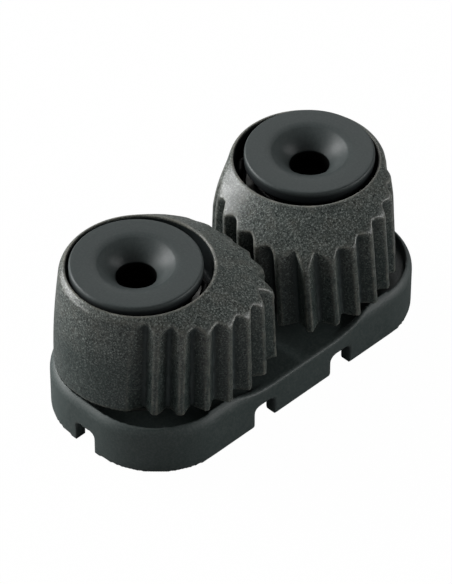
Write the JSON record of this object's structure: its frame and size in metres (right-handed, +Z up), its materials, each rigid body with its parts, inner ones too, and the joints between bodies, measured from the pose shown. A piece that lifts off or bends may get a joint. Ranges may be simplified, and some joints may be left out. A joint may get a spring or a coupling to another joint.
{
  "type": "cam cleat",
  "caption": "Cam cleat for a sailing rope: a low oval base with sprung, ball-bearing cams whose slanted teeth grip the line, on posts under countersunk caps.",
  "frame": {"origin": "middle of the line through the two screw holes, on the underside of the base", "axes": "+X from the left post to the right post, +Y the way a loaded rope pulls (the hauling hand is at -Y), +Z up along both posts"},
  "size_m": [0.065, 0.0319, 0.0287],
  "materials": {
    "base_composite": "fine matt moulding",
    "cam_composite": "speckled short-fibre moulding",
    "cap_plastic": "smooth satin",
    "spring_steel": "bright drawn wire",
    "washer_steel": "pressed sheet",
    "ball_acetal": "polished",
    "spacer_acetal": "smooth"
  },
  "bodies": {
    "mount": {"base": "base_composite", "left_cap": "cap_plastic", "left_retaining_washer": "washer_steel", "left_thrust_washer": "washer_steel", "left_upper_balls": "ball_acetal", "left_ball_spacer": "spacer_acetal", "left_lower_balls": "ball_acetal", "right_cap": "cap_plastic", "right_retaining_washer": "washer_steel", "right_thrust_washer": "washer_steel", "right_upper_balls": "ball_acetal", "right_ball_spacer": "spacer_acetal", "right_lower_balls": "ball_acetal"},
    "left_cam_body": {"left_cam": "cam_composite", "left_spring": "spring_steel"},
    "right_cam_body": {"right_cam": "cam_composite", "right_spring": "spring_steel"}
  },
  "joints": [
    {"name": "left_cam_swing", "type": "hinge", "parent": "mount", "child": "left_cam_body", "pos_m": [-0.019, 0, 0.0147], "axis": [0, 0, 1], "range_deg": [-75, 0], "stiffness_Nm_per_rad": 0.02, "springref_deg": 40.11, "deforming": ["left_spring"]},
    {"name": "right_cam_swing", "type": "hinge", "parent": "mount", "child": "right_cam_body", "pos_m": [0.019, 0, 0.0147], "axis": [0, 0, 1], "range_deg": [0, 75], "stiffness_Nm_per_rad": 0.02, "springref_deg": -40.11, "deforming": ["right_spring"]}
  ]
}
